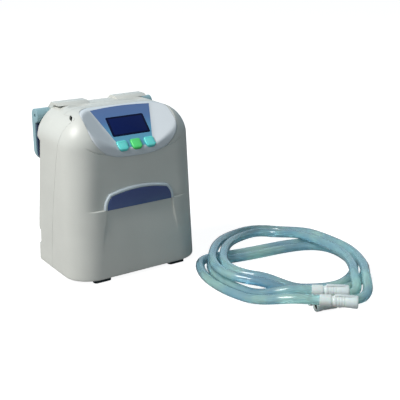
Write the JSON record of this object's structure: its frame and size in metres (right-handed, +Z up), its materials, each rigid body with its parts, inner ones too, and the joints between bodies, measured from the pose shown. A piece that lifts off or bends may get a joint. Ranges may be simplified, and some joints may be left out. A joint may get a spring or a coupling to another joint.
{
  "type": "compression therapy pump",
  "caption": "Domed bedside air pump with a sloping display console, arched plate, sprung rear bed hook, recessed hose sockets and a pair of clear air hoses coiled beside it.",
  "frame": {"origin": "on the table under the middle of the pump, its bed hook closed and its hoses left out", "axes": "+Z up, the console faces -Y, +X to the right seen from the front"},
  "size_m": [0.3176, 0.3412, 0.188],
  "materials": {
    "case_grey": "satin",
    "front_grey": "satin",
    "pod_lilac": "gloss",
    "panel_blue": "satin",
    "window_navy": "gloss",
    "plate_navy": "satin",
    "rim_silver": "gloss",
    "turquoise": "satin",
    "go_green": "satin",
    "hook_teal": "satin",
    "rubber_black": "matte",
    "pad_navy": "matte",
    "black_plastic": "satin",
    "board_green": "gloss",
    "steel": "satin",
    "copper": "satin",
    "hose_aqua": "gloss",
    "nylon_white": "satin",
    "cell_blue": "satin"
  },
  "bodies": {
    "case": {"front_housing": "front_grey", "rear_housing": "case_grey", "console_bezel": "pod_lilac", "console_panel": "panel_blue", "display_window": "window_navy", "name_plate": "plate_navy", "name_plate_rim": "rim_silver", "hinge_lug_left": "case_grey", "hinge_lug_right": "case_grey", "hook_pin": "steel", "hook_spring": "steel", "feet": "rubber_black", "case_screws": "steel", "hose_socket_left": "rubber_black", "hose_socket_right": "rubber_black", "mains_inlet": "black_plastic", "switch_frame": "black_plastic", "control_board": "board_green", "display_module": "steel", "key_switches": "black_plastic", "buzzer": "black_plastic", "chassis": "steel", "battery_pack": "cell_blue", "compressor_frame": "steel", "compressor_coils": "copper", "diaphragm_head_left": "black_plastic", "diaphragm_head_right": "black_plastic", "compressor_mounts": "rubber_black", "air_reservoir": "nylon_white", "valve_manifold": "nylon_white", "valve_coil_left": "copper", "valve_coil_right": "copper", "outlet_tubes": "nylon_white", "feed_tube": "nylon_white", "main_board": "board_green", "power_board": "board_green", "hose_left": "hose_aqua", "hose_right": "hose_aqua", "connector_left": "nylon_white", "connector_right": "nylon_white", "end_connector_left": "nylon_white", "end_connector_right": "nylon_white", "connector_seals": "rubber_black"},
    "hook": {"bed_hook": "hook_teal", "hook_pad": "pad_navy"},
    "left_button": {"button_left": "turquoise"},
    "centre_button": {"button_centre": "go_green"},
    "right_button": {"button_right": "turquoise"},
    "rocker": {"power_rocker": "black_plastic"},
    "piston": {"armature": "steel"},
    "left_plunger": {"valve_plunger_left": "steel"},
    "right_plunger": {"valve_plunger_right": "steel"}
  },
  "joints": [
    {"name": "hook_swing", "type": "hinge", "parent": "case", "child": "hook", "pos_m": [0, 0.04825, 0.173], "axis": [1, 0, 0], "range_deg": [0, 70], "stiffness_Nm_per_rad": 0.2, "springref_deg": -11.46},
    {"name": "left_press", "type": "slide", "parent": "case", "child": "left_button", "axis": [0, 0.7133, -0.7009], "range_m": [0, 0.001], "stiffness_N_per_m": 400, "springref_m": -0.001},
    {"name": "centre_press", "type": "slide", "parent": "case", "child": "centre_button", "axis": [0, 0.7133, -0.7009], "range_m": [0, 0.001], "stiffness_N_per_m": 400, "springref_m": -0.001},
    {"name": "right_press", "type": "slide", "parent": "case", "child": "right_button", "axis": [0, 0.7133, -0.7009], "range_m": [0, 0.001], "stiffness_N_per_m": 400, "springref_m": -0.001},
    {"name": "rocker_tilt", "type": "hinge", "parent": "case", "child": "rocker", "pos_m": [0.012, 0.03525, 0.033], "axis": [0, 0, 1], "range_deg": [0, 14]},
    {"name": "piston_stroke", "type": "slide", "parent": "case", "child": "piston", "axis": [1, 0, 0], "range_m": [-0.0015, 0.0015], "stiffness_N_per_m": 800},
    {"name": "left_valve_lift", "type": "slide", "parent": "case", "child": "left_plunger", "axis": [0, 0, 1], "range_m": [0, 0.0012], "stiffness_N_per_m": 60, "springref_m": -0.002},
    {"name": "right_valve_lift", "type": "slide", "parent": "case", "child": "right_plunger", "axis": [0, 0, 1], "range_m": [0, 0.0012], "stiffness_N_per_m": 60, "springref_m": -0.002}
  ]
}
